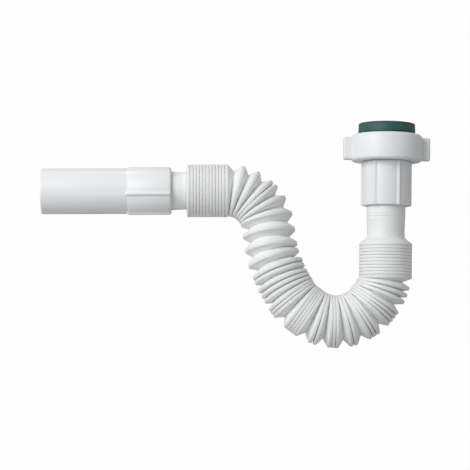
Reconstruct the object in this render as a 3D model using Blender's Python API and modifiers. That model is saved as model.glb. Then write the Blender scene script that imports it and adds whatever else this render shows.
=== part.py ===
"""Extendable flexible waste pipe, lying at rest on a floor.

A blown white bellows hose runs from a plain outlet spigot, through two bends, up to an
inlet tailpiece that carries a winged union nut and a dark green seal. The run of the
hose lies in one plane ("lay plane": x to the right, y along the inlet, z up); the whole
assembly is then tipped onto the three places that touch the floor. All sizes in metres.
"""
import math

import bmesh
import bpy
from mathutils import Matrix, Vector

MM = 0.001

# Hose: one blown piece, folds and two smooth cuffs.
FOLD_R = 18.45 * MM
FOLD_WALL = 0.5 * MM
FOLD_DEPTH = 6.8 * MM
CREST_W = 1.9 * MM
GROOVE_MIN = 0.35 * MM
SHUT = 2.25
HOSE_SIDES = 16
BORE_SIDES = 12
RUN_HEADING = math.radians(0.75)

# Shut folds next to each cuff, and the gap between their crests. The outlet's are a touch
# wider on the left-hand side.
OUTLET_STEPS = 12
OUTLET_GAPS = (2.2, 2.18)
INLET_STEPS = 10

# How far each fold between them is pulled open, walking from the outlet to the inlet: gap
# on the left-hand side, gap on the right-hand side, and how far the next fold is pushed
# off to the left, all in mm.
FIRST_BEND = [
    (12.3, 2.35, 0.6), (11.4, 2.05, 0.4), (11.55, 2, 0.4), (4.3, 1.9, 0.2), (10.1, 1.9, 0.3),
    (12.35, 1.8, 0.35),
]
DESCENT = [
    (11.2, 8.65, -0.05), (9.95, 10.05, 0.05), (4.9, 11.15, -0.15), (6.85, 9, 0.2), (3.85, 3.3, 0.05),
    (4.55, 6.25, 0.2),
]
RETURN_BEND = [
    (2.8, 4.5, 0.35), (2.9, 4.2, 0.25), (1.7, 6.55, -0.25), (1.65, 2.6, -0.15), (1.65, 2.6, -0.15),
    (1.65, 10.95, -0.05), (1.65, 2.2, -0.05), (1.65, 2.2, -0.05), (1.65, 2.2, -0.05),
    (1.65, 2.2, -0.05), (1.65, 11.55, -0.2), (1.65, 3.3, -0.25), (1.65, 10.5, -0.45),
    (1.65, 2.6, -0.2), (1.65, 2.6, -0.25), (1.65, 10.8, -0.2), (1.7, 3.2, -0.1), (1.65, 11.2, -0.2),
    (1.65, 3.15, -0.2), (1.65, 3.15, -0.2), (1.65, 9.7, -0.2), (1.7, 3.25, -0.15), (1.65, 3.25, -0.1),
    (1.65, 3.25, -0.1), (1.7, 8.95, -0.5), (1.65, 5.05, -0.4), (1.65, 5.15, -0.3), (1.65, 8.25, -0.95),
]

# The pulled folds of the first bend and the descent lean back at their upper side.
CANT = math.radians(7.0)
CANT_START = 13.5
CANT_FULL = 18.5
CANT_EASE = 25.0
CANT_END = 32.0
INLET_RUN_HALF = 0.5 * INLET_STEPS * SHUT * MM

# Smooth cuffs, measured from the centre of the end fold.
CUFF_R_ROOT = 12.9 * MM
CUFF_R_END = 13.5 * MM
CUFF_WALL = 1.0 * MM
OUT_ROOT = 1.15 * MM
OUT_COLLAR = 12.05 * MM
OUT_INSERT = 20.0 * MM
IN_ROOT = 4.4 * MM
IN_COLLAR = 27.05 * MM
IN_INSERT = 12.0 * MM

# Round collar with narrow grip ribs; the tailpiece's is a little longer than the spigot's.
CLEAR = 0.35 * MM
SOCKET_R = CUFF_R_END + CLEAR
SOCKET_WALL = 2.8 * MM
COLLAR_R = SOCKET_R + SOCKET_WALL
RIBS = 6
RIB_OUT = 1.1 * MM
RIB_W = 3.5 * MM
COLLAR_LEN = 30.0 * MM
TAIL_EXTRA = 0.95 * MM
COLLAR_CHAMFER = 0.9 * MM
STOP_LAP = 0.2 * MM
STOP_R = CUFF_R_END - CUFF_WALL - STOP_LAP
STOP_T = 2.5 * MM
PIPE_R = 15.95 * MM
PIPE_WALL = 1.75 * MM
PIPE_BORE_R = PIPE_R - PIPE_WALL
SPIGOT_LEN = 60.3 * MM

# Union nut, flange and seal. The nut's bore is the thread's; the seal slips into it.
NUT_BORE_R = 20.96 * MM
NUT_WALL = 3.84 * MM
NUT_R = NUT_BORE_R + NUT_WALL
NUT_H = 18.7 * MM
NUT_LIP_T = 3.0 * MM
NUT_HOLE_R = PIPE_R + CLEAR
NUT_MOUTH_OUT = 0.44 * MM
NUT_MOUTH_R = NUT_BORE_R + NUT_MOUTH_OUT
NUT_MOUTH_H = 3.0 * MM
NUT_ROUND = 2.0 * MM
WING_REACH = 5.6 * MM
WING_TIP = NUT_R + WING_REACH
WING_T = 7.0 * MM
WING_LOW = 0.4 * MM
WING_H = 16.5 * MM
SEAL_TOP_GAP = 7.7 * MM
SEAL_H = 9.0 * MM
SEAL_PLAY = 1.2 * MM
SEAL_R_TOP = NUT_BORE_R - SEAL_PLAY
SEAL_FLARE = 0.6 * MM
SEAL_R_LOW = SEAL_R_TOP + SEAL_FLARE
SEAL_WEB = 2.2 * MM
SEAL_SKIRT = 1.05 * MM
SEAL_BORE_OUT = 0.4 * MM
SEAL_BORE_R = PIPE_BORE_R + SEAL_BORE_OUT
FLANGE_R = SEAL_R_TOP - SEAL_SKIRT - CLEAR
FLANGE_T = 3.0 * MM
TURN_SIDES = 48


def clear_scene():
    for old in list(bpy.data.objects):
        bpy.data.objects.remove(old, do_unlink=True)


def plastic(name, colour, rough):
    """One plain Principled material."""
    mat = bpy.data.materials.new(name)
    mat.use_nodes = True
    shader = mat.node_tree.nodes["Principled BSDF"]
    shader.inputs["Base Color"].default_value = (*colour, 1.0)
    shader.inputs["Roughness"].default_value = rough
    mat.diffuse_color = (*colour, 1.0)
    return mat


def cant_at(fold):
    """Tangent of a fold's lean, easing in and out along the hose."""
    rise = (fold - CANT_START) / (CANT_FULL - CANT_START)
    fall = (CANT_END - fold) / (CANT_END - CANT_EASE)
    return math.tan(CANT * max(0.0, min(1.0, rise)) * max(0.0, min(1.0, fall)))


def fold_chain():
    """Centres, headings and leans of the folds, by adding up the gaps on both sides."""
    steps = [(*OUTLET_GAPS, 0.0) for _ in range(round(OUTLET_STEPS))]
    steps += FIRST_BEND + DESCENT + RETURN_BEND
    steps += [(SHUT, SHUT, 0.0) for _ in range(round(INLET_STEPS))]
    centre = Vector((0.0, 0.0, 0.0))
    heading = RUN_HEADING
    folds = [(centre.copy(), heading, 0.0)]
    gaps = []
    for left, right, push in steps:
        turn = (right - left) * MM / (2.0 * FOLD_R)
        along, sideways = axes(heading + 0.5 * turn)
        centre = centre + 0.5 * (left + right) * MM * along + push * MM * sideways
        heading = heading + turn
        cant = cant_at(len(folds))
        gaps.append((left * MM, right * MM, FOLD_R * (folds[-1][2] - cant)))
        folds.append((centre.copy(), heading, cant))
    return folds, gaps


def axes(heading):
    """Travel direction and left-hand direction at a heading in the lay plane."""
    along = Vector((math.cos(heading), math.sin(heading), 0.0))
    left = Vector((-math.sin(heading), math.cos(heading), 0.0))
    return along, left


def ring(centre, heading, cant, sides, radius, shift):
    """One ring of points round the hose; radius and shift are functions of the angle."""
    along, left = axes(heading)
    points = []
    for k in range(sides):
        a = 2.0 * math.pi * k / sides
        out = math.cos(a) * left + math.sin(a) * (Vector((0.0, 0.0, 1.0)) - cant * along)
        points.append(centre + radius(a) * out + shift(a) * along)
    return points


def gap_at(gap, angle):
    """Gap between two neighbouring crests at an angle round the hose."""
    left, right, upper = gap
    return 0.5 * (left + right) + 0.5 * (left - right) * math.cos(angle) + upper * math.sin(angle)


def half_crest(gap, angle):
    """Half width of a crest, narrowed where the folds are nipped together."""
    return min(0.5 * CREST_W, 0.5 * (gap_at(gap, angle) - GROOVE_MIN))


def valley_depth(gap, angle):
    """Depth of the valley: the wall keeps its length as the fold opens."""
    run = 0.5 * gap_at(gap, angle) - half_crest(gap, angle)
    return math.sqrt(FOLD_DEPTH ** 2 - min(run, 0.95 * FOLD_DEPTH) ** 2)


def hose_rings():
    """Outer and inner rings of the hose, from the outlet cuff to the inlet cuff."""
    folds, gaps = fold_chain()
    shut = (SHUT * MM, SHUT * MM, 0.0)
    outer = []
    inner = []

    def cuff(fold, root, collar, insert, sign):
        stations = [(root, CUFF_R_ROOT), (collar, CUFF_R_END), (collar + insert, CUFF_R_END)]
        if sign < 0:
            stations.reverse()
        for place, r in stations:
            flat = lambda a, s=sign * place: s
            outer.append(ring(*fold, HOSE_SIDES, lambda a, r=r: r, flat))
            inner.append(ring(*fold, BORE_SIDES, lambda a, r=r: r - CUFF_WALL, flat))

    cuff(folds[0], OUT_ROOT, OUT_COLLAR, OUT_INSERT, -1.0)
    for i, fold in enumerate(folds):
        before = gaps[i - 1] if i > 0 else shut
        after = gaps[i] if i < len(gaps) else shut
        outer.append(ring(*fold, HOSE_SIDES, lambda a: FOLD_R, lambda a, g=before: -half_crest(g, a)))
        outer.append(ring(*fold, HOSE_SIDES, lambda a: FOLD_R, lambda a, g=after: half_crest(g, a)))
        inner.append(ring(*fold, BORE_SIDES, lambda a: FOLD_R - 1.4 * FOLD_WALL, lambda a: 0.0))
        if i == len(gaps):
            continue
        ahead = folds[i + 1]
        middle = (0.5 * (fold[0] + ahead[0]), 0.5 * (fold[1] + ahead[1]), 0.5 * (fold[2] + ahead[2]))
        root = lambda a, g=after: FOLD_R - valley_depth(g, a)
        bore = lambda a, g=after: FOLD_R - valley_depth(g, a) - FOLD_WALL
        outer.append(ring(*middle, HOSE_SIDES, root, lambda a: 0.0))
        inner.append(ring(*middle, BORE_SIDES, bore, lambda a: -FOLD_WALL))
        inner.append(ring(*middle, BORE_SIDES, bore, lambda a: FOLD_WALL))
    cuff(folds[-1], IN_ROOT, IN_COLLAR, IN_INSERT, 1.0)
    return outer, inner


def add_tube(bm, rings, inward):
    """Quads between rings with equal counts; returns the first and last loops of vertices."""
    loops = [[bm.verts.new(p) for p in points] for points in rings]
    for a, b in zip(loops, loops[1:]):
        count = len(a)
        for k in range(count):
            n = (k + 1) % count
            face = (a[k], b[k], b[n], a[n]) if inward else (a[k], a[n], b[n], b[k])
            bm.faces.new(face)
    return loops[0], loops[-1]


def loop_edges(bm, loop):
    return [bm.edges.get((loop[k], loop[(k + 1) % len(loop)])) for k in range(len(loop))]


def object_from_bmesh(name, bm, material, collection):
    bmesh.ops.recalc_face_normals(bm, faces=bm.faces)
    mesh = bpy.data.meshes.new(name)
    bm.to_mesh(mesh)
    bm.free()
    mesh.shade_smooth()
    mesh.set_sharp_from_angle(angle=math.radians(35))
    obj = bpy.data.objects.new(name, mesh)
    collection.objects.link(obj)
    obj.data.materials.append(material)
    return obj


def make_hose(collection, material):
    """Loft through the fold rings, with an end wall at each cuff."""
    outer, inner = hose_rings()
    bm = bmesh.new()
    outer_first, outer_last = add_tube(bm, outer, False)
    inner_first, inner_last = add_tube(bm, inner, True)
    for big, small in ((outer_first, inner_first), (outer_last, inner_last)):
        edges = loop_edges(bm, big) + loop_edges(bm, small)
        bmesh.ops.triangle_fill(bm, use_beauty=True, use_dissolve=False, edges=edges)
    return object_from_bmesh("flex_hose", bm, material, collection)


def section_angles(first_rib):
    """Angles round a fitting: the ridge and both feet of each rib, and five between ribs."""
    foot = math.asin(0.5 * RIB_W / COLLAR_R)
    pitch = 2.0 * math.pi / RIBS
    between = [foot + (pitch - 2.0 * foot) * k / 6 for k in range(7)]
    return [first_rib + pitch * rib + step for rib in range(RIBS) for step in [0.0] + between]


def collar_radius(k, shrink):
    """Distance from the axis to the collar at a numbered section angle: 0 is a rib's ridge."""
    return COLLAR_R - shrink + (RIB_OUT if k % 8 == 0 else 0.0)


def make_fitting(name, first_rib, stations, collection, material):
    """Loft along z through (z, kind, size): the ribbed collar less a chamfer, or a circle."""
    angles = section_angles(first_rib)
    bm = bmesh.new()
    loops = []
    for z, kind, size in stations:
        loop = []
        for k, a in enumerate(angles):
            r = collar_radius(k, size) if kind == "ribbed" else size
            loop.append(bm.verts.new((r * math.cos(a), r * math.sin(a), z)))
        loops.append(loop)
    for a, b in zip(loops, loops[1:] + loops[:1]):
        for k in range(len(a)):
            n = (k + 1) % len(a)
            bm.faces.new((a[k], a[n], b[n], b[k]))
    return object_from_bmesh(name, bm, material, collection)


def make_spigot(collection, material):
    """Outlet: ribbed socket collar and a plain 32 mm pipe end, one moulding."""
    z0 = OUT_COLLAR
    z1 = z0 + COLLAR_LEN
    z2 = z1 + SPIGOT_LEN
    stop = z0 + OUT_INSERT + CLEAR
    stations = [
        (z0, "ribbed", COLLAR_CHAMFER),
        (z0 + COLLAR_CHAMFER, "ribbed", 0.0),
        (z1 - COLLAR_CHAMFER, "ribbed", 0.0),
        (z1, "round", PIPE_R),
        (z2 - COLLAR_CHAMFER, "round", PIPE_R),
        (z2, "round", PIPE_R - 0.5 * COLLAR_CHAMFER),
        (z2, "round", PIPE_BORE_R),
        (stop + STOP_T, "round", PIPE_BORE_R),
        (stop + STOP_T, "round", STOP_R),
        (stop, "round", STOP_R),
        (stop, "round", SOCKET_R),
        (z0, "round", SOCKET_R),
    ]
    return make_fitting("outlet_spigot", OUTLET_FIRST_RIB, stations, collection, material)


def inlet_levels():
    """Heights along the inlet axis, measured from the middle of the inlet's shut folds."""
    collar = INLET_RUN_HALF + IN_COLLAR
    top = collar + COLLAR_LEN + TAIL_EXTRA
    nut = top + CLEAR
    seal_top = nut + NUT_H + SEAL_TOP_GAP
    seal_low = seal_top - SEAL_H
    flange_top = seal_top - SEAL_WEB - CLEAR
    return collar, top, nut, seal_low, seal_top, flange_top


def make_tailpiece(collection, material):
    """Inlet: ribbed socket collar, tube and end flange, one moulding."""
    collar, top, nut, seal_low, seal_top, flange_top = inlet_levels()
    stop = collar + IN_INSERT + CLEAR
    stations = [
        (collar, "ribbed", COLLAR_CHAMFER),
        (collar + COLLAR_CHAMFER, "ribbed", 0.0),
        (top - 0.3 * MM, "ribbed", 0.0),
        (top, "ribbed", 0.3 * MM),
        (top, "round", PIPE_R - 0.25 * MM),
        (flange_top - FLANGE_T, "round", PIPE_R - 0.25 * MM),
        (flange_top - FLANGE_T, "round", FLANGE_R),
        (flange_top, "round", FLANGE_R),
        (flange_top, "round", PIPE_BORE_R),
        (stop + STOP_T, "round", PIPE_BORE_R),
        (stop + STOP_T, "round", STOP_R),
        (stop, "round", STOP_R),
        (stop, "round", SOCKET_R),
        (collar, "round", SOCKET_R),
    ]
    return make_fitting("inlet_tailpiece", INLET_FIRST_RIB, stations, collection, material)


def turned(name, profile, collection, material):
    """Ring turned from a closed profile of (radius, z), outer side top to bottom first."""
    mesh = bpy.data.meshes.new(name)
    edges = [(k, (k + 1) % len(profile)) for k in range(len(profile))]
    mesh.from_pydata([(r, 0.0, z) for r, z in profile], edges, [])
    obj = bpy.data.objects.new(name, mesh)
    collection.objects.link(obj)
    obj.data.materials.append(material)
    screw = obj.modifiers.new("turn", "SCREW")
    screw.axis = "Z"
    screw.angle = 2.0 * math.pi
    screw.steps = TURN_SIDES
    screw.render_steps = TURN_SIDES
    screw.use_merge_vertices = True
    screw.merge_threshold = 0.00001
    screw.use_smooth_shade = True
    return obj


def make_nut(collection, cutters, material):
    """Union nut: open ring with a lip at the bottom and two wings."""
    nut = inlet_levels()[2]
    top = nut + NUT_H
    e = NUT_ROUND
    profile = [
        (NUT_MOUTH_R, top),
        (NUT_R - e, top),
        (NUT_R - 0.3 * e, top - 0.3 * e),
        (NUT_R, top - e),
        (NUT_R, nut + e),
        (NUT_R - 0.3 * e, nut + 0.3 * e),
        (NUT_R - e, nut),
        (NUT_HOLE_R, nut),
        (NUT_HOLE_R, nut + NUT_LIP_T),
        (NUT_BORE_R, nut + NUT_LIP_T),
        (NUT_BORE_R, top - NUT_MOUTH_H),
        (NUT_MOUTH_R, top - NUT_MOUTH_H),
    ]
    obj = turned("union_nut", profile, collection, material)
    inside = 0.5 * (NUT_BORE_R + NUT_R)
    for side in (-1.0, 1.0):
        mesh = bpy.data.meshes.new("wing")
        bm = bmesh.new()
        bmesh.ops.create_cube(bm, size=1.0)
        bmesh.ops.scale(bm, vec=(WING_TIP - inside, WING_T, WING_H), verts=bm.verts)
        bmesh.ops.translate(bm, vec=(side * 0.5 * (WING_TIP + inside), 0.0, nut + WING_LOW + 0.5 * WING_H),
                            verts=bm.verts)
        bmesh.ops.bevel(bm, geom=bm.edges[:], offset=1.1 * MM, segments=2, affect="EDGES", profile=0.5)
        bm.to_mesh(mesh)
        bm.free()
        wing = bpy.data.objects.new("wing", mesh)
        cutters.objects.link(wing)
        wing.hide_render = True
        wing.display_type = "WIRE"
        wing.parent = obj
        join = obj.modifiers.new("wing", "BOOLEAN")
        join.operation = "UNION"
        join.solver = "EXACT"
        join.object = wing
    return obj


def make_seal(collection, material):
    """Rubber seal snapped over the flange, flaring a little towards its lower lip."""
    seal_low, seal_top, flange_top = inlet_levels()[3:]
    under = flange_top - FLANGE_T - CLEAR
    profile = [
        (SEAL_BORE_R, seal_top),
        (SEAL_R_TOP - 0.4 * MM, seal_top),
        (SEAL_R_TOP, seal_top - 0.4 * MM),
        (SEAL_R_LOW - 0.2 * MM, seal_low + 1.6 * MM),
        (SEAL_R_LOW, seal_low),
        (NUT_HOLE_R, seal_low),
        (NUT_HOLE_R, under),
        (FLANGE_R + CLEAR, under),
        (FLANGE_R + CLEAR, flange_top + CLEAR),
        (SEAL_BORE_R, flange_top + CLEAR),
    ]
    return turned("seal_ring", profile, collection, material)


def axis_frame(centre, heading, roll=0.0):
    """Frame with local z along a heading of the lay plane and local y to the lay plane's z."""
    along, left = axes(heading)
    up = Vector((0.0, 0.0, 1.0))
    side = up.cross(along)
    frame = Matrix.Identity(4)
    for col, vec in enumerate((-side, up, along)):
        for row in range(3):
            frame[row][col] = vec[row]
    frame.translation = centre
    return frame @ Matrix.Rotation(roll, 4, "Z")


def rest_turn(circles_by_group):
    """Turn that lays three groups of circles on one floor plane."""
    normal = Vector((0.0, 0.0, 1.0))
    for _ in range(12):
        feet = []
        for group in circles_by_group:
            found = None
            for centre, axis, radius in group:
                down = normal - normal.dot(axis) * axis
                foot = centre - radius * down.normalized()
                if found is None or foot.dot(normal) < found.dot(normal):
                    found = foot
            feet.append(found)
        normal = (feet[1] - feet[0]).cross(feet[2] - feet[0]).normalized()
        if normal.z < 0.0:
            normal = -normal
    return normal.rotation_difference(Vector((0.0, 0.0, 1.0))).to_matrix().to_4x4()


# Angle of one rib on each fitting, turned from the lay plane.
OUTLET_FIRST_RIB = math.radians(102.0)
INLET_FIRST_RIB = math.radians(64.2)


def place(placed, turn):
    """Set every frame, parents first."""
    for obj, frame in placed:
        obj.matrix_world = turn @ frame
        bpy.context.view_layer.update()


def bounds(objects):
    """Lowest and highest corner of the finished meshes."""
    graph = bpy.context.evaluated_depsgraph_get()
    points = []
    for obj in objects:
        shape = obj.evaluated_get(graph)
        mesh = shape.to_mesh()
        points += [shape.matrix_world @ v.co for v in mesh.vertices]
        shape.to_mesh_clear()
    low = Vector(min(p[k] for p in points) for k in range(3))
    high = Vector(max(p[k] for p in points) for k in range(3))
    return low, high


def main():
    clear_scene()
    parts = bpy.data.collections.new("extendable_waste_pipe")
    cutters = bpy.data.collections.new("cutters")
    bpy.context.scene.collection.children.link(parts)
    bpy.context.scene.collection.children.link(cutters)
    hose_white = plastic("white_hose_plastic", (0.80, 0.82, 0.81), 0.42)
    fitting_white = plastic("white_fitting_plastic", (0.83, 0.84, 0.85), 0.30)
    nut_white = plastic("white_nut_plastic", (0.82, 0.83, 0.84), 0.32)
    tail_white = plastic("white_tailpiece_plastic", (0.84, 0.85, 0.86), 0.28)
    seal_green = plastic("dark_green_rubber", (0.02, 0.09, 0.09), 0.55)

    folds, _ = fold_chain()
    start, start_heading, _ = folds[0]
    end, end_heading, _ = folds[-1]
    out_frame = axis_frame(start, start_heading + math.pi)
    in_frame = axis_frame(end - INLET_RUN_HALF * axes(end_heading)[0], end_heading)

    hose = make_hose(parts, hose_white)
    spigot = make_spigot(parts, fitting_white)
    tail = make_tailpiece(parts, tail_white)
    nut = make_nut(parts, cutters, nut_white)
    seal = make_seal(parts, seal_green)
    # The inlet bends about the right-hand edge of its shut folds, so its pieces hang on an
    # empty there.
    pivot = bpy.data.objects.new("inlet_pivot", None)
    pivot.empty_display_size = 0.01
    parts.objects.link(pivot)
    pivot_frame = in_frame @ Matrix.Translation((FOLD_R, 0.0, 0.0))
    tail.parent = pivot
    seal.parent = pivot
    placed = [(pivot, pivot_frame), (hose, Matrix.Identity(4)), (spigot, out_frame), (tail, in_frame),
              (nut, in_frame), (seal, in_frame)]

    def circle(frame, z, radius):
        return frame @ Vector((0.0, 0.0, z)), frame.col[2].to_3d(), radius

    nut_low = inlet_levels()[2]
    spigot_end = OUT_COLLAR + COLLAR_LEN + SPIGOT_LEN
    groups = [
        [circle(in_frame, nut_low + e, NUT_R) for e in (NUT_ROUND, NUT_H - NUT_ROUND)],
        [(centre, axes(heading)[0], FOLD_R) for centre, heading, _ in folds[21:-11]],
        [circle(out_frame, spigot_end - COLLAR_CHAMFER, PIPE_R)],
    ]
    rest = rest_turn(groups)
    place(placed, rest)
    low, high = bounds([obj for obj, _ in placed if obj.type == "MESH"])
    shift = Vector((-0.5 * (low.x + high.x), -0.5 * (low.y + high.y), -low.z))
    place(placed, Matrix.Translation(shift) @ rest)


main()
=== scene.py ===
"""Extendable flexible waste pipe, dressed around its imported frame.

White bellows hose with a plain outlet spigot, and an inlet with a ribbed collar, a winged
union nut and a dark green seal. It lies on a pale floor and is seen from above.
"""

import math

import bmesh
import bpy
import numpy as np
from mathutils import Matrix, Vector


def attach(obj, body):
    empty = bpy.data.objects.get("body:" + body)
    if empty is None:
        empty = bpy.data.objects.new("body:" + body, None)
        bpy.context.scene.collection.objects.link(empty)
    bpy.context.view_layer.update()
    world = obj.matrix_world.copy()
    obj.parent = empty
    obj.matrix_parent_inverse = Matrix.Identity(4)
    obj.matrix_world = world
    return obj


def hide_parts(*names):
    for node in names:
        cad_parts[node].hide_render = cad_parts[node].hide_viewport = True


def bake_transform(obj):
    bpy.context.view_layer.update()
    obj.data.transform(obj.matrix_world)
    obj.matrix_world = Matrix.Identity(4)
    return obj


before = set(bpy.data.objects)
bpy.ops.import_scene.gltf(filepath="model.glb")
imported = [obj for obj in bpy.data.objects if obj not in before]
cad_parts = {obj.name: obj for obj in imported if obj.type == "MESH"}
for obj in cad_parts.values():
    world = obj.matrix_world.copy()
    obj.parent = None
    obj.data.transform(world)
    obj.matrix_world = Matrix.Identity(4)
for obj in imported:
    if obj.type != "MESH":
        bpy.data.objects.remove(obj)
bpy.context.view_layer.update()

# Hose, outlet cuff: the plain end that is glued in the spigot, with the first fold's crest.
# The whole hose is one blown polypropylene tube, half a millimetre thick, with sharp-edged
# folds that stay where they are set.
MM = 0.001

# The hose's own frame as it lies on the floor, tipped about three degrees by the wide nut.
LAY = Matrix((
    (0.999474, -0.000686, -0.032411, -0.033028),
    (-0.000686, 0.999106, -0.042272, 0.030010),
    (0.032411, 0.042272, 0.998580, 0.019285),
    (0.0, 0.0, 0.0, 1.0),
))
FOLD_R = 18.45 * MM
FOLD_DEPTH = 6.8 * MM
FOLD_WALL = 0.5 * MM
CREST_WALL = 0.7 * MM
CUFF_WALL = 1.0 * MM
CREST_W = 2.06 * MM
GROOVE_MIN = 0.12 * MM
TUCKED_GAP = 1.6 * MM
OPEN_GAP = 7.6 * MM
LEAST_OPEN = 0.2
SHUT_RUN_OPEN = 0.45
LEAN = math.radians(7.0)
LEAN_FROM = 13.5
LEAN_RISE = 5.0
LEAN_UNTIL = 32.0
LEAN_FALL = 7.0
HOSE_SIDES = 104
FOLD_EDGE_ANGLE = 40.0
RUN_HEADING = math.radians(0.75)
OUTLET_STEPS = 12
OUTLET_GAPS = (2.2, 2.18, 0.0)
INLET_STEPS = 10
INLET_GAPS = (2.25, 2.25, 0.0)
PULLED = [
    (12.3, 2.35, 0.6), (11.4, 2.05, 0.4), (11.55, 2, 0.4), (4.3, 1.9, 0.2), (10.1, 1.9, 0.3),
    (12.35, 1.8, 0.35), (11.2, 8.65, -0.05), (9.95, 10.05, 0.05), (4.9, 11.15, -0.15), (6.85, 9, 0.2),
    (3.85, 3.3, 0.05), (4.55, 6.25, 0.2), (2.8, 4.5, 0.35), (2.9, 4.2, 0.25), (1.7, 6.55, -0.25),
    (1.65, 2.6, -0.15), (1.65, 2.6, -0.15), (1.65, 10.95, -0.05), (1.65, 2.2, -0.05), (1.65, 2.2, -0.05),
    (1.65, 2.2, -0.05), (1.65, 2.2, -0.05), (1.65, 11.55, -0.2), (1.65, 3.3, -0.25), (1.65, 10.5, -0.45),
    (1.65, 2.6, -0.2), (1.65, 2.6, -0.25), (1.65, 10.8, -0.2), (1.7, 3.2, -0.1), (1.65, 11.2, -0.2),
    (1.65, 3.15, -0.2), (1.65, 3.15, -0.2), (1.65, 9.7, -0.2), (1.7, 3.25, -0.15), (1.65, 3.25, -0.1),
    (1.65, 3.25, -0.1), (1.7, 8.95, -0.5), (1.65, 5.05, -0.4), (1.65, 5.15, -0.3), (1.65, 8.25, -0.95),
]


def fold_chain(steps):
    """Fold centres and headings from each gap's left width, right width and push, in
    millimetres: it steps on by the mean of the widths, turns by their difference over the
    hose's width, and is pushed sideways."""
    left, right, push = (np.array(steps) * MM).T
    turn = (right - left) / (2.0 * FOLD_R)
    heading = RUN_HEADING + np.concatenate([[0.0], np.cumsum(turn)])
    middle = heading[:-1] + 0.5 * turn
    along = np.stack([np.cos(middle), np.sin(middle), 0.0 * middle], 1)
    sideways = np.stack([-np.sin(middle), np.cos(middle), 0.0 * middle], 1)
    step = (0.5 * (left + right))[:, None] * along + push[:, None] * sideways
    return np.concatenate([np.zeros((1, 3)), np.cumsum(step, 0)]), heading


CENTRE, HEADING = fold_chain([OUTLET_GAPS] * OUTLET_STEPS + PULLED + [INLET_GAPS] * INLET_STEPS)
FOLDS = len(CENTRE)
AROUND = np.linspace(0.0, 2.0 * np.pi, HOSE_SIDES, endpoint=False)


def outward(heading):
    """Unit vectors from the axis, round the hose: left times cosine plus up times sine."""
    heading = np.asarray(heading)[..., None]
    turned = AROUND + 0.0 * heading
    left = np.cos(turned)
    return np.stack([-np.sin(heading) * left, np.cos(heading) * left, np.sin(turned)], -1)


def onward(heading):
    """Unit vectors along the hose, from the cosine and the sine of the heading."""
    heading = np.asarray(heading)
    return np.stack([np.cos(heading), np.sin(heading), 0.0 * heading], -1)


def crest_circles():
    """One circle per fold. In the first bend and the descent its upper side leans back, by
    the tangent of the lean times the height above the axis."""
    number = np.arange(FOLDS)
    rise = np.clip((number - LEAN_FROM) / LEAN_RISE, 0.0, 1.0)
    fall = np.clip((LEAN_UNTIL - number) / LEAN_FALL, 0.0, 1.0)
    lean = LEAN * rise * fall
    back = np.tan(lean)[:, None, None] * np.sin(AROUND)[None, :, None] * onward(HEADING)[:, None, :]
    return CENTRE[:, None, :] + FOLD_R * (outward(HEADING) - back)


CREST = crest_circles()


def gap_frames(first, last):
    """For each gap: crests either side, direction midway, crest half width, depth, valley and
    softness. Depth is the third side of a triangle of wall and half gap, times how open it
    is: a nearly shut fold tucks one wall under the other, so it is shallower and softer."""
    near = np.arange(first, last)
    far = near + 1
    middle = 0.5 * (HEADING[near] + HEADING[far])
    ahead = onward(middle)[:, None, :]
    gap = ((CREST[far] - CREST[near]) * ahead).sum(-1, keepdims=True)
    half = np.minimum(0.5 * CREST_W, 0.5 * (gap - GROOVE_MIN))
    run = 0.5 * gap - half
    part = (gap - TUCKED_GAP) / (OPEN_GAP - TUCKED_GAP)
    opened = np.clip(LEAST_OPEN + (1.0 - LEAST_OPEN) * part, LEAST_OPEN, 1.0)
    opened[near < OUTLET_STEPS] = SHUT_RUN_OPEN
    depth = opened * np.sqrt(FOLD_DEPTH ** 2 - np.minimum(run, 0.95 * FOLD_DEPTH) ** 2)
    valley = 0.5 * (CREST[near] + CREST[far]) - depth * outward(middle)
    soft = 1.15 - 0.8 * opened
    return near, far, middle, half, depth, valley, soft


def outer_folds(first, last):
    """Outside rings of whole gaps: a share across the crest's half width, then a share down
    the straight wall to the valley, less a small drop; then the same back up, mirrored."""
    near, far, middle, half, depth, valley, soft = gap_frames(first, last)
    across = np.array([0.0, 0.50, 0.78, 0.93, 1.0, 1.0, 1.0, 1.0, 1.0, 1.0, 1.0])
    down = np.array([0.0, 0.0, 0.0, 0.0, 0.012, 0.045, 0.16, 0.42, 0.72, 0.93, 1.0])
    drop = np.array([0.0, 0.04, 0.09, 0.15, 0.22, 0.20, 0.10, -0.03, -0.05, -0.03, -0.12]) * MM
    sides = []
    for fold, way, pick in ((near, 1.0, slice(0, 11)), (far, -1.0, slice(9, 0, -1))):
        edge = CREST[fold] + way * half * onward(HEADING[fold])[:, None, :]
        a, d, e = (x[pick][None, :, None, None] for x in (across, down, drop))
        start = CREST[fold][:, None] + a * (edge - CREST[fold])[:, None]
        points = start + d * (valley - edge)[:, None] - e * (soft * outward(HEADING[fold]))[:, None]
        # Depth down to the valley, nothing at the crest and one at its floor: the plastic paints light
        # into the hollows by it.
        shade = np.broadcast_to((d * depth[:, None])[..., 0] / FOLD_DEPTH, points.shape[:-1])
        sides.append((points, shade))
    points = np.concatenate([sides[0][0], sides[1][0]], 1)
    shade = np.concatenate([sides[0][1], sides[1][1]], 1)
    return points.reshape(-1, HOSE_SIDES, 3), shade.reshape(-1, HOSE_SIDES)


def single_crest(fold, drops):
    """Rings on one crest circle, each a drop towards the axis."""
    points = CREST[fold][None] - np.asarray(drops)[:, None, None] * outward(HEADING[fold])[None]
    return points, np.zeros(points.shape[:2])


def end_crest(fold, way):
    """Outer half of the end fold's crest, from its middle to its edge and a little way down."""
    across = np.array([0.50, 0.78, 0.93, 1.0])[:, None, None] * 0.5 * CREST_W * way
    drop = np.array([0.04, 0.09, 0.15, 0.22])[:, None, None] * MM
    points = CREST[fold][None] + across * onward(HEADING[fold]) - drop * outward(HEADING[fold])[None]
    return points, np.zeros(points.shape[:2])


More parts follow.
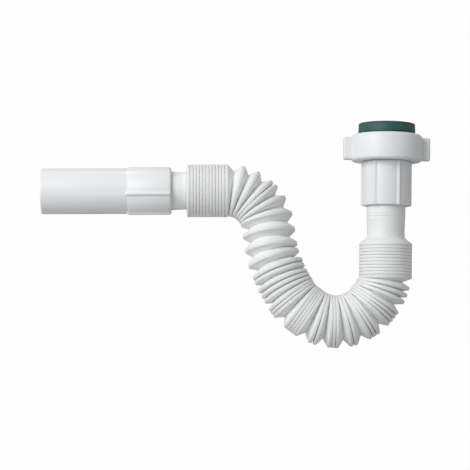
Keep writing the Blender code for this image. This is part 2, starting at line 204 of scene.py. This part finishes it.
def cuff_rings(fold, places, radii):
    """Circles on the axis of an end fold, at distances along it and with given radii."""
    centre = CENTRE[fold] + np.asarray(places)[:, None] * onward(HEADING[fold])
    points = centre[:, None, :] + np.asarray(radii)[:, None, None] * outward(HEADING[fold])
    return points, np.zeros(points.shape[:2])


def joined(*parts):
    """Rings and shades of several stretches, one after the other."""
    return np.concatenate([p[0] for p in parts]), np.concatenate([p[1] for p in parts])


def closed_shell(name, outer, inner, place, smooth_angle):
    """Closed skin from rings out along the outside and back along the inside, as quads."""
    points = np.concatenate([outer[0], inner[0][::-1]])
    shade = np.concatenate([outer[1], inner[1][::-1]])
    rows, cols = shade.shape
    flat = points.reshape(-1, 3) @ np.array(place.to_3x3()).T + np.array(place.translation)
    a = np.arange(rows * cols).reshape(rows, cols)
    b = np.roll(a, -1, 1)
    quads = np.stack([a, b, np.roll(b, -1, 0), np.roll(a, -1, 0)], -1).reshape(-1, 4)
    mesh = bpy.data.meshes.new(name)
    mesh.from_pydata(flat.tolist(), [], quads.tolist())
    # The groove depth is kept on the points, and the plastic paints light into the hollows by it.
    groove = mesh.attributes.new("groove", "FLOAT", "POINT")
    groove.data.foreach_set("value", shade.astype(np.float32).ravel())
    tidy = bmesh.new()
    tidy.from_mesh(mesh)
    bmesh.ops.recalc_face_normals(tidy, faces=tidy.faces)
    tidy.to_mesh(mesh)
    tidy.free()
    mesh.shade_smooth()
    mesh.set_sharp_from_angle(angle=math.radians(smooth_angle))
    piece = bpy.data.objects.new(name, mesh)
    bpy.context.scene.collection.objects.link(piece)
    return piece


def white_plastic(name, colour, painted_hollow_colour, rough, ripple, ripple_size, glow_depth):
    """White plastic: faint clouds of tone, painted light and shade in the hollows, a second colour
    blended in by the groove depth, light spreading under the skin where it is thin, and a fine
    ripple in gloss and surface."""
    mat = bpy.data.materials.new(name)
    mat.use_nodes = True
    tree = mat.node_tree
    shader = tree.nodes["Principled BSDF"]
    shader.inputs["IOR"].default_value = 1.49
    shader.inputs["Specular IOR Level"].default_value = 0.4
    shader.inputs["Subsurface Weight"].default_value = 1.0 if glow_depth > 0.0 else 0.0
    shader.inputs["Subsurface Radius"].default_value = (1.0, 1.0, 1.0)
    shader.inputs["Subsurface Scale"].default_value = glow_depth
    place = tree.nodes.new("ShaderNodeTexCoord")
    cloud = tree.nodes.new("ShaderNodeTexNoise")
    cloud.inputs["Scale"].default_value = 24.0
    cloud.inputs["Detail"].default_value = 2.0
    tree.links.new(place.outputs["Object"], cloud.inputs["Vector"])
    tone = tree.nodes.new("ShaderNodeMix")
    tone.data_type = "RGBA"
    tone.inputs["A"].default_value = (*[c * 0.985 for c in colour], 1.0)
    tone.inputs["B"].default_value = (*[c * 1.015 for c in colour], 1.0)
    tree.links.new(cloud.outputs["Fac"], tone.inputs["Factor"])
    # Painted light in the hollows: by their groove depth they blend to a second colour, which on the
    # hose is lighter than the crests and stands in for the light that shines through and between its
    # thin folds.
    hollow = tree.nodes.new("ShaderNodeAttribute")
    hollow.attribute_name = "groove"
    hollow_painted_light = tree.nodes.new("ShaderNodeMix")
    hollow_painted_light.data_type = "RGBA"
    hollow_painted_light.inputs["B"].default_value = (*painted_hollow_colour, 1.0)
    tree.links.new(hollow.outputs["Fac"], hollow_painted_light.inputs["Factor"])
    tree.links.new(tone.outputs["Result"], hollow_painted_light.inputs["A"])
    tree.links.new(hollow_painted_light.outputs["Result"], shader.inputs["Base Color"])
    grain = tree.nodes.new("ShaderNodeTexNoise")
    grain.inputs["Scale"].default_value = ripple_size
    grain.inputs["Detail"].default_value = 2.0
    tree.links.new(place.outputs["Object"], grain.inputs["Vector"])
    gloss = tree.nodes.new("ShaderNodeMapRange")
    gloss.inputs["To Min"].default_value = rough - 0.03
    gloss.inputs["To Max"].default_value = rough + 0.03
    tree.links.new(grain.outputs["Fac"], gloss.inputs["Value"])
    tree.links.new(gloss.outputs["Result"], shader.inputs["Roughness"])
    bump = tree.nodes.new("ShaderNodeBump")
    bump.inputs["Strength"].default_value = ripple
    bump.inputs["Distance"].default_value = 0.0001
    tree.links.new(grain.outputs["Fac"], bump.inputs["Height"])
    tree.links.new(bump.outputs["Normal"], shader.inputs["Normal"])
    return mat


# The hose's hollows are painted nearly white, lighter than its crests: painted light, standing in for
# the light that shines through and between the thin folds.
hose_plastic = white_plastic("blown_hose_plastic", (0.852, 0.868, 0.863), (0.95, 0.96, 0.955),
                             rough=0.45, ripple=0.10, ripple_size=500.0, glow_depth=0.0005)
OUT_PLACES = -np.array([32.05, 23.0, 12.05, 8.0, 4.0, 2.2, 1.55, 1.25, 1.15]) * MM
OUT_RADII = np.array([13.5, 13.5, 13.5, 13.25, 13.05, 12.92, 12.95, 13.35, 14.2]) * MM
RINGS_PER_GAP = 20
CREST_EDGE = 4
SHUT = outer_folds(0, OUTLET_STEPS)


def shut_rings(first, last):
    """A run of the shut folds' outside rings."""
    return SHUT[0][first:last + 1], SHUT[1][first:last + 1]


def behind(rings, fold):
    """Inside rings half a millimetre under the first, the middle and the last of some rings."""
    pick = sorted({0, len(rings[0]) // 2, len(rings[0]) - 1})
    return rings[0][pick] - FOLD_WALL * outward(HEADING[fold]), rings[1][pick]


crest_out = end_crest(0, -1.0)
cuff_out = cuff_rings(0, OUT_PLACES, OUT_RADII)
cuff_in = cuff_rings(0, OUT_PLACES[[0, 2, 5]], OUT_RADII[[0, 2, 5]] - CUFF_WALL)
first_edge = shut_rings(CREST_EDGE, CREST_EDGE)
hose_cuff = closed_shell(
    "hose_outlet_cuff",
    joined(cuff_out, (crest_out[0][::-1], crest_out[1]), shut_rings(0, CREST_EDGE)),
    joined(cuff_in, single_crest(0, [CUFF_WALL]), behind(first_edge, 0)), LAY, FOLD_EDGE_ANGLE)
hose_cuff.data.materials.append(hose_plastic)
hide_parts("flex_hose")
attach(hose_cuff, "outlet")


for fold in range(1, OUTLET_STEPS):
    rings = shut_rings(RINGS_PER_GAP * fold - CREST_EDGE, RINGS_PER_GAP * fold + CREST_EDGE)
    name = "hose_shut_crest_%02d" % fold
    crest = closed_shell(name, rings, behind(rings, fold), LAY, FOLD_EDGE_ANGLE)
    crest.data.materials.append(hose_plastic)
    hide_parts("flex_hose")
    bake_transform(crest)

for fold in range(OUTLET_STEPS):
    rings = shut_rings(RINGS_PER_GAP * fold + CREST_EDGE, RINGS_PER_GAP * (fold + 1) - CREST_EDGE)
    name = "hose_shut_groove_%02d" % fold
    groove = closed_shell(name, rings, behind(rings, fold), LAY, FOLD_EDGE_ANGLE)
    groove.data.materials.append(hose_plastic)
    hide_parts("flex_hose")
    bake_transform(groove)

# Hose, bent stretch between the two straight ones. Every fold keeps the place where it was
# set: fanned open on the outside of a bend and nipped shut on the inside.
INLET_FIRST = FOLDS - 1 - INLET_STEPS
LAST_EDGE = RINGS_PER_GAP * OUTLET_STEPS - CREST_EDGE
LAST_RING = RINGS_PER_GAP * OUTLET_STEPS - 1


def inner_folds(first, last):
    """Inside rings of whole gaps: a slot behind each crest and a flat behind each valley."""
    near, far, middle, half, depth, valley, soft = gap_frames(first, last)
    slot = CREST[near] - CREST_WALL * outward(HEADING[near])
    trough = valley - FOLD_WALL * outward(middle)
    step = FOLD_WALL * onward(middle)[:, None, :]
    points = np.stack([slot, trough - step, trough + step], 1)
    # The inside rings take the full depth, so they all get the hollows' painted light.
    return points.reshape(-1, HOSE_SIDES, 3), np.ones((3 * len(near), HOSE_SIDES))


bends_out = joined(shut_rings(LAST_EDGE, LAST_RING), outer_folds(OUTLET_STEPS, INLET_FIRST),
                   single_crest(INLET_FIRST, [0.0]))
bends_in = joined(behind(shut_rings(LAST_EDGE, LAST_EDGE), OUTLET_STEPS),
                  inner_folds(OUTLET_STEPS, INLET_FIRST), single_crest(INLET_FIRST, [CREST_WALL]))
hose_bends = closed_shell("hose_bent_folds", bends_out, bends_in, LAY, FOLD_EDGE_ANGLE)
hose_bends.data.materials.append(hose_plastic)
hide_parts("flex_hose")
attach(hose_bends, "hose")

# Hose, inlet stretch: eleven shut folds and the smooth cuff with three faint rings that is
# glued in the tailpiece's collar. On the real hose these folds fan open when the inlet is bent.
IN_PLACES = np.array([
    1.6, 2.6, 3.6, 4.1, 4.6, 5.4, 8.0, 12.0, 16.6, 17.2, 17.5,
    17.8, 18.4, 20.0, 20.3, 20.6, 21.7, 22.0, 22.3, 23.0, 27.05, 39.05,
]) * MM
IN_RADII = np.array([
    17.3, 16.0, 14.7, 14.1, 13.65, 13.25, 13.05, 13.15, 13.3, 13.32, 13.46,
    13.35, 13.37, 13.4, 13.53, 13.43, 13.44, 13.58, 13.47, 13.48, 13.5, 13.5,
]) * MM
TAIL = FOLDS - 1
cuff_out = cuff_rings(TAIL, IN_PLACES, IN_RADII)
cuff_in = cuff_rings(TAIL, IN_PLACES[[5, 12, 21]], IN_RADII[[5, 12, 21]] - CUFF_WALL)
hose_inlet = closed_shell(
    "hose_inlet_folds",
    joined(outer_folds(INLET_FIRST, TAIL), single_crest(TAIL, [0.0]), end_crest(TAIL, 1.0), cuff_out),
    joined(inner_folds(INLET_FIRST, TAIL), single_crest(TAIL, [CREST_WALL]), cuff_in),
    LAY, FOLD_EDGE_ANGLE)
hose_inlet.data.materials.append(hose_plastic)
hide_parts("flex_hose")
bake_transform(hose_inlet)

# Outlet spigot. One injection moulding: a round socket collar with six narrow grip ribs,
# glued over the hose's cuff, and a plain 32 mm pipe end that pushes into a waste socket.
COLLAR_R = 16.65 * MM
COLLAR_LEN = 30.0 * MM
RIB_OUT = 1.1 * MM
RIB_W = 3.5 * MM
RIB_STEP = 60.0
EASED = 0.3 * MM
SOCKET_R = 13.85 * MM
STOP_R = 12.3 * MM
STOP_LEN = 2.5 * MM
PIPE_R = 15.95 * MM
BORE_R = 14.2 * MM
FITTING_SIDES = 360
MOULD_EDGE_ANGLE = 35.0


def axis_frame(fold, shift, way):
    """Frame with z along the hose's axis at a fold, y on the lay plane's normal."""
    along = Vector(way * onward(HEADING[fold]))
    up = Vector((0.0, 0.0, 1.0))
    turn = Matrix((-up.cross(along), up, along)).transposed().to_4x4()
    return LAY @ Matrix.Translation(Vector(CENTRE[fold]) + shift * along) @ turn


def rib_shape(angle, first_rib):
    """Six ridges round the collar: height falls linearly from the ridge to nothing at half a
    rib's width, and a small number under each root eases both ends."""
    off = np.abs((np.degrees(angle) - first_rib + 0.5 * RIB_STEP) % RIB_STEP - 0.5 * RIB_STEP)
    half_width = math.degrees(math.asin(0.5 * RIB_W / COLLAR_R))
    slant = 1.0 - np.sqrt((off / half_width) ** 2 + 0.02)
    return 1.14 * 0.5 * (slant + np.sqrt(slant ** 2 + 0.008))


def turned_rings(stations, first_rib=0.0):
    """Rings along z from (z, radius, rib height): radius plus the rib shape times its height."""
    z, radius, rib = (np.array(column)[:, None] for column in zip(*stations))
    angle = np.linspace(0.0, 2.0 * np.pi, FITTING_SIDES, endpoint=False)[None, :]
    radius = radius + rib * rib_shape(angle, first_rib)
    points = np.stack([radius * np.cos(angle), radius * np.sin(angle), z + 0.0 * angle], -1)
    return points, np.zeros(points.shape[:2])


def round_in(z, radius, reach, drop, rib=0.0):
    """Quarter round in six stations, from an end face out to the side."""
    turn = np.linspace(0.0, 0.5 * np.pi, 6)
    return [(z + reach * (1.0 - math.cos(t)), radius - drop * (1.0 - math.sin(t)), rib) for t in turn]


def round_out(z, radius, reach, drop, rib=0.0):
    """Quarter round in six stations, from the side in to an end face."""
    turn = np.linspace(0.5 * np.pi, 0.0, 6)
    return [(z - reach * (1.0 - math.cos(t)), radius - drop * (1.0 - math.sin(t)), rib) for t in turn]


def socket_bore(mouth, stop, end):
    """Bore stations: the socket for the cuff, a narrow stop, then the water way to its end."""
    return [(mouth, SOCKET_R, 0.0), (stop, SOCKET_R, 0.0), (stop, STOP_R, 0.0),
            (stop + STOP_LEN, STOP_R, 0.0), (stop + STOP_LEN, BORE_R, 0.0),
            (end - EASED, BORE_R, 0.0), (end, BORE_R + EASED, 0.0)]


# The darker hollow colour would be painted shade, but the moulding's rings carry no groove depth, so it
# does not show.
spigot_plastic = white_plastic("moulded_spigot_plastic", (0.825, 0.84, 0.852), (0.8, 0.82, 0.84),
                               rough=0.36, ripple=0.03, ripple_size=260.0, glow_depth=0.0)
COLLAR_START = 12.05 * MM
COLLAR_END = COLLAR_START + COLLAR_LEN
PIPE_LEN = 60.3 * MM
PIPE_END = COLLAR_END + PIPE_LEN
outside = (round_in(COLLAR_START, COLLAR_R, 1.8 * MM, 1.2 * MM, RIB_OUT)
           + [(COLLAR_END - 0.45 * MM, COLLAR_R, RIB_OUT),
              (COLLAR_END - 0.35 * MM, COLLAR_R - 0.06 * MM, RIB_OUT + 0.04 * MM),
              (COLLAR_END - 0.02 * MM, PIPE_R + 0.04 * MM, 1.6 * RIB_OUT),
              (COLLAR_END + 0.1 * MM, PIPE_R, 1.6 * RIB_OUT),
              (COLLAR_END + 0.6 * MM, PIPE_R, 1.2 * RIB_OUT),
              (COLLAR_END + 1.4 * MM, PIPE_R, 0.15 * RIB_OUT),
              (COLLAR_END + 1.6 * MM, PIPE_R, 0.0)]
           + round_out(PIPE_END, PIPE_R, 0.7 * MM, 0.7 * MM))
inside = socket_bore(COLLAR_START, COLLAR_START + 20.35 * MM, PIPE_END)
spigot = closed_shell("outlet_spigot_moulding", turned_rings(outside, first_rib=102.0),
                      turned_rings(inside), axis_frame(0, 0.0, -1.0), MOULD_EDGE_ANGLE)
spigot.data.materials.append(spigot_plastic)
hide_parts("outlet_spigot")
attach(spigot, "outlet")

# Inlet tailpiece. The same ribbed collar, glued on the upper cuff, carries a short tube
# with a flange on its end, which holds the seal and stops the nut from coming off.
# Its heights are counted from the middle of the shut folds by the inlet.
# The darker hollow colour would be painted shade, but the moulding's rings carry no groove depth, so it
# does not show.
tail_plastic = white_plastic("moulded_tailpiece_plastic", (0.82, 0.84, 0.858), (0.8, 0.82, 0.84),
                             rough=0.36, ripple=0.03, ripple_size=240.0, glow_depth=0.0)
INLET_PLACE = axis_frame(TAIL, -0.5 * INLET_STEPS * INLET_GAPS[0] * MM, 1.0)
COLLAR = 38.3 * MM
COLLAR_TOP = COLLAR + COLLAR_LEN + 0.95 * MM
NUT_GAP = 0.35 * MM
NUT_H = 18.7 * MM
SEAL_PROUD = 7.7 * MM
SEAL_TOP = COLLAR_TOP + NUT_GAP + NUT_H + SEAL_PROUD
TUBE_R = PIPE_R - 0.25 * MM
FLANGE_R = 18.36 * MM
FLANGE_TOP = SEAL_TOP - 2.55 * MM
FLANGE = FLANGE_TOP - 3.0 * MM
outside = (round_in(COLLAR, COLLAR_R, 0.9 * MM, 0.9 * MM, RIB_OUT)
           + [(COLLAR_TOP - EASED, COLLAR_R, RIB_OUT), (COLLAR_TOP, COLLAR_R - EASED, RIB_OUT),
              (COLLAR_TOP, TUBE_R, 0.0), (FLANGE, TUBE_R, 0.0),
              (FLANGE, FLANGE_R - EASED, 0.0), (FLANGE + EASED, FLANGE_R, 0.0),
              (FLANGE_TOP - EASED, FLANGE_R, 0.0), (FLANGE_TOP, FLANGE_R - EASED, 0.0)])
inside = socket_bore(COLLAR, COLLAR + 12.35 * MM, FLANGE_TOP)
tailpiece = closed_shell("inlet_tailpiece_moulding", turned_rings(outside, first_rib=64.2),
                         turned_rings(inside), INLET_PLACE, MOULD_EDGE_ANGLE)
tailpiece.data.materials.append(tail_plastic)
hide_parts("inlet_tailpiece")
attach(tailpiece, "inlet")

# Union nut. Injection-moulded white ring with a lip that hooks under the flange, a parallel
# pipe thread inside, and two flat wings to turn it by hand.
# The darker hollow colour would be painted shade, but the nut's rings carry no groove depth, so it does
# not show.
nut_plastic = white_plastic("moulded_nut_plastic", (0.82, 0.835, 0.845), (0.8, 0.82, 0.83),
                            rough=0.40, ripple=0.05, ripple_size=300.0, glow_depth=0.0)
NUT = COLLAR_TOP + NUT_GAP
NUT_TOP = NUT + NUT_H
NUT_R = 24.8 * MM
LIP_R = 16.3 * MM
MOUTH_R = 21.4 * MM
THREAD_R = 20.96 * MM
THREAD_DEPTH = 1.479 * MM
PITCH = 2.309 * MM


def thread_rings(first, last):
    """Inside thread: radius falls from the bore by the thread's depth times a raised cosine
    that climbs one pitch a turn, faded in and out over half a pitch."""
    z = np.arange(first, last, 0.1 * PITCH)[:, None]
    angle = np.linspace(0.0, 2.0 * np.pi, FITTING_SIDES, endpoint=False)[None, :]
    fade = np.clip(np.minimum(z - first, last - z) / (0.5 * PITCH), 0.0, 1.0)
    radius = THREAD_R - THREAD_DEPTH * fade * (0.5 + 0.5 * np.cos(2.0 * np.pi * z / PITCH + angle))
    points = np.stack([radius * np.cos(angle), radius * np.sin(angle), z + 0.0 * angle], -1)
    return points, np.zeros(points.shape[:2])


outside = round_in(NUT, NUT_R, 2.0 * MM, 1.5 * MM) + round_out(NUT_TOP, NUT_R, 2.2 * MM, 2.6 * MM)
lip = [(NUT, LIP_R + EASED, 0.0), (NUT + EASED, LIP_R, 0.0), (NUT + 3.0 * MM, LIP_R, 0.0),
       (NUT + 3.0 * MM, THREAD_R, 0.0)]
mouth = [(NUT_TOP - 3.0 * MM, THREAD_R, 0.0), (NUT_TOP - 3.0 * MM, MOUTH_R, 0.0),
         (NUT_TOP - 0.4 * MM, MOUTH_R, 0.0), (NUT_TOP, MOUTH_R + 0.4 * MM, 0.0)]
inside = joined(turned_rings(lip), thread_rings(NUT + 3.5 * MM, NUT_TOP - 3.2 * MM), turned_rings(mouth))
nut = closed_shell("union_nut_ring", turned_rings(outside), inside, INLET_PLACE, MOULD_EDGE_ANGLE)
nut.data.materials.append(nut_plastic)


def eased_sign(value, power):
    """Sign times a power of the size, which squares a circle's cosine or sine."""
    return np.sign(value) * np.abs(value) ** power


WING_OUT = 26.6 * MM
WING_UP = 8.85 * MM
WING_HALF_REACH = 3.8 * MM
WING_HALF_THICK = 3.5 * MM
WING_HALF_HEIGHT = 8.05 * MM


def wing_skin(side):
    """Superellipsoid wing: reach, thickness and height follow powered cosines and sines."""
    v = np.linspace(-0.5 * np.pi, 0.5 * np.pi, 49)[:, None]
    u = np.linspace(0.0, 2.0 * np.pi, 128, endpoint=False)[None, :]
    reach = WING_HALF_REACH * eased_sign(np.cos(v), 0.22) * eased_sign(np.cos(u), 0.16)
    thick = WING_HALF_THICK * eased_sign(np.sin(v), 0.5) + 0.0 * u
    height = WING_HALF_HEIGHT * eased_sign(np.cos(v), 0.22) * eased_sign(np.sin(u), 0.16)
    return np.stack([side * (reach + WING_OUT), thick, height + NUT + WING_UP], -1)


for side in (-1.0, 1.0):
    block = wing_skin(side)
    rows, cols = block.shape[:2]
    a = np.arange(rows * cols).reshape(rows, cols)
    b = np.roll(a, -1, 1)
    quads = np.stack([a[:-1], b[:-1], b[1:], a[1:]], -1).reshape(-1, 4)
    place = np.array(INLET_PLACE)
    mesh = bpy.data.meshes.new("nut_wing")
    points = block.reshape(-1, 3) @ place[:3, :3].T + place[:3, 3]
    mesh.from_pydata(points.tolist(), [], quads.tolist())
    shape = bmesh.new()
    shape.from_mesh(mesh)
    bmesh.ops.remove_doubles(shape, verts=shape.verts, dist=1e-6)
    bmesh.ops.recalc_face_normals(shape, faces=shape.faces)
    shape.to_mesh(mesh)
    shape.free()
    wing = bpy.data.objects.new("nut_wing", mesh)
    bpy.context.scene.collection.objects.link(wing)
    union = nut.modifiers.new("wing", "BOOLEAN")
    union.operation = "UNION"
    union.solver = "EXACT"
    union.object = wing
    nut.data = bpy.data.meshes.new_from_object(nut.evaluated_get(bpy.context.evaluated_depsgraph_get()))
    nut.modifiers.remove(union)
    bpy.data.objects.remove(wing, do_unlink=True)
nut.data.shade_smooth()
nut.data.set_sharp_from_angle(angle=math.radians(MOULD_EDGE_ANGLE))
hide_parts("union_nut")
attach(nut, "nut")

# Seal. A moulded ring of dark green rubber, snapped over the flange: a flat sealing face, a
# slightly flared skirt, and a groove above the small lip at its lower edge.
seal_rubber = bpy.data.materials.new("dark_green_rubber")
seal_rubber.use_nodes = True
tree = seal_rubber.node_tree
shader = tree.nodes["Principled BSDF"]
shader.inputs["Specular IOR Level"].default_value = 0.3
place = tree.nodes.new("ShaderNodeTexCoord")
cloud = tree.nodes.new("ShaderNodeTexNoise")
cloud.inputs["Scale"].default_value = 90.0
cloud.inputs["Detail"].default_value = 4.0
tree.links.new(place.outputs["Object"], cloud.inputs["Vector"])
tone = tree.nodes.new("ShaderNodeMix")
tone.data_type = "RGBA"
tone.inputs["A"].default_value = (0.027, 0.086, 0.087, 1.0)
tone.inputs["B"].default_value = (0.040, 0.114, 0.113, 1.0)
tree.links.new(cloud.outputs["Fac"], tone.inputs["Factor"])
tree.links.new(tone.outputs["Result"], shader.inputs["Base Color"])
speck = tree.nodes.new("ShaderNodeTexNoise")
speck.inputs["Scale"].default_value = 900.0
tree.links.new(place.outputs["Object"], speck.inputs["Vector"])
gloss = tree.nodes.new("ShaderNodeMapRange")
gloss.inputs["To Min"].default_value = 0.45
gloss.inputs["To Max"].default_value = 0.60
tree.links.new(speck.outputs["Fac"], gloss.inputs["Value"])
tree.links.new(gloss.outputs["Result"], shader.inputs["Roughness"])
bump = tree.nodes.new("ShaderNodeBump")
bump.inputs["Strength"].default_value = 0.3
bump.inputs["Distance"].default_value = 0.00008
tree.links.new(speck.outputs["Fac"], bump.inputs["Height"])
tree.links.new(bump.outputs["Normal"], shader.inputs["Normal"])

SEAL = SEAL_TOP - 9.0 * MM
SKIRT_R = 19.76 * MM
NECK_R = 16.3 * MM
POCKET_R = 18.71 * MM
HOLE_R = 14.6 * MM
RUBBER_EDGE_ANGLE = 30.0
outside = [(SEAL, NECK_R, 0.0), (SEAL, SKIRT_R + 0.3 * MM, 0.0),
           (SEAL + 0.3 * MM, SKIRT_R + 0.6 * MM, 0.0), (SEAL + 0.9 * MM, SKIRT_R + 0.55 * MM, 0.0),
           (SEAL + 1.45 * MM, SKIRT_R + 0.25 * MM, 0.0), (SEAL + 1.6 * MM, SKIRT_R - 0.31 * MM, 0.0),
           (SEAL + 2.2 * MM, SKIRT_R - 0.31 * MM, 0.0), (SEAL + 2.45 * MM, SKIRT_R + 0.21 * MM, 0.0),
           (SEAL_TOP - 1.5 * MM, SKIRT_R, 0.0), (SEAL_TOP - 1.2 * MM, SKIRT_R - 0.14 * MM, 0.0),
           (SEAL_TOP - 0.95 * MM, SKIRT_R, 0.0), (SEAL_TOP - 0.45 * MM, SKIRT_R, 0.0),
           (SEAL_TOP - 0.1 * MM, SKIRT_R - 0.2 * MM, 0.0), (SEAL_TOP, SKIRT_R - 0.45 * MM, 0.0)]
inside = [(SEAL + 0.02 * MM, NECK_R, 0.0), (FLANGE - 0.35 * MM, NECK_R, 0.0),
          (FLANGE - 0.35 * MM, POCKET_R, 0.0), (FLANGE_TOP + 0.35 * MM, POCKET_R, 0.0),
          (FLANGE_TOP + 0.35 * MM, HOLE_R, 0.0), (SEAL_TOP - EASED, HOLE_R, 0.0),
          (SEAL_TOP, HOLE_R + EASED, 0.0)]
seal = closed_shell("inlet_seal", turned_rings(outside), turned_rings(inside), INLET_PLACE,
                    RUBBER_EDGE_ANGLE)
seal.data.materials.append(seal_rubber)
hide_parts("seal_ring")
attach(seal, "inlet")

# Floor: a plain pale board under the pipe. It shows almost white to the camera, keeps a
# trace of shadow, and gives the pipe a grey bounce from below.
REACH = 3.0
corners = [(-REACH, -REACH, 0.0), (REACH, -REACH, 0.0), (REACH, REACH, 0.0), (-REACH, REACH, 0.0)]
floor_mesh = bpy.data.meshes.new("pale_floor")
floor_mesh.from_pydata(corners, [], [(0, 1, 2, 3)])
floor = bpy.data.objects.new("pale_floor", floor_mesh)
bpy.context.scene.collection.objects.link(floor)
floor_paint = bpy.data.materials.new("floor_white")
floor_paint.use_nodes = True
tree = floor_paint.node_tree
tree.nodes.clear()
out = tree.nodes.new("ShaderNodeOutputMaterial")
matt = tree.nodes.new("ShaderNodeBsdfDiffuse")
matt.inputs["Color"].default_value = (0.62, 0.62, 0.62, 1.0)
glow = tree.nodes.new("ShaderNodeEmission")
glow.inputs["Color"].default_value = (1.0, 1.0, 1.0, 1.0)
rays = tree.nodes.new("ShaderNodeLightPath")
share = tree.nodes.new("ShaderNodeMath")
share.operation = "MULTIPLY"
share.inputs[1].default_value = 0.985
mix = tree.nodes.new("ShaderNodeMixShader")
tree.links.new(rays.outputs["Is Camera Ray"], share.inputs[0])
tree.links.new(share.outputs[0], mix.inputs["Fac"])
tree.links.new(matt.outputs[0], mix.inputs[1])
tree.links.new(glow.outputs[0], mix.inputs[2])
tree.links.new(mix.outputs[0], out.inputs["Surface"])
floor.data.materials.append(floor_paint)

# Light: an even, dim sky that the camera sees as white, and one soft square lamp at the
# upper left of the picture.
world = bpy.data.worlds.new("studio")
bpy.context.scene.world = world
world.use_nodes = True
tree = world.node_tree
tree.nodes.clear()
out = tree.nodes.new("ShaderNodeOutputWorld")
fill = tree.nodes.new("ShaderNodeBackground")
fill.inputs["Color"].default_value = (1.0, 1.0, 1.0, 1.0)
fill.inputs["Strength"].default_value = 0.395
white = tree.nodes.new("ShaderNodeBackground")
white.inputs["Color"].default_value = (1.0, 1.0, 1.0, 1.0)
rays = tree.nodes.new("ShaderNodeLightPath")
mix = tree.nodes.new("ShaderNodeMixShader")
tree.links.new(rays.outputs["Is Camera Ray"], mix.inputs["Fac"])
tree.links.new(fill.outputs[0], mix.inputs[1])
tree.links.new(white.outputs[0], mix.inputs[2])
tree.links.new(mix.outputs[0], out.inputs["Surface"])

LAMP_PLACE = (-1.1, 0.62, 1.22)
lamp = bpy.data.lights.new("key_lamp", "AREA")
lamp.size = 1.05
lamp.energy = 22.2
holder = bpy.data.objects.new("key_lamp", lamp)
holder.location = LAMP_PLACE
holder.rotation_euler = (-Vector(LAMP_PLACE)).to_track_quat("-Z", "Y").to_euler()
bpy.context.scene.collection.objects.link(holder)

# Camera: almost straight above, turned so that the outlet run is level in the picture, with
# the long lens of a product photograph.
AZIMUTH = math.radians(-24.905)
ELEVATION = math.radians(82.907)
ROLL = math.radians(25.418)
DISTANCE = 1.24
FOCAL_PX = 1776.5
PICTURE_PX = 470.0
target = Vector((-0.000355, -0.00046, 0.018))
way = Vector((math.sin(AZIMUTH) * math.cos(ELEVATION), -math.cos(AZIMUTH) * math.cos(ELEVATION),
              math.sin(ELEVATION)))
level = Vector((math.cos(AZIMUTH), math.sin(AZIMUTH), 0.0))
upward = level.cross(-way)
right = math.cos(ROLL) * level + math.sin(ROLL) * upward
top = -math.sin(ROLL) * level + math.cos(ROLL) * upward
lens = bpy.data.cameras.new("photo_camera")
lens.sensor_width = 36.0
lens.lens = FOCAL_PX * lens.sensor_width / PICTURE_PX
eye = bpy.data.objects.new("photo_camera", lens)
turned = Matrix((right, top, way)).transposed().to_4x4()
eye.matrix_world = Matrix.Translation(target + DISTANCE * way) @ turned
bpy.context.scene.collection.objects.link(eye)
bpy.context.scene.camera = eye
bpy.context.scene.view_settings.view_transform = "Standard"
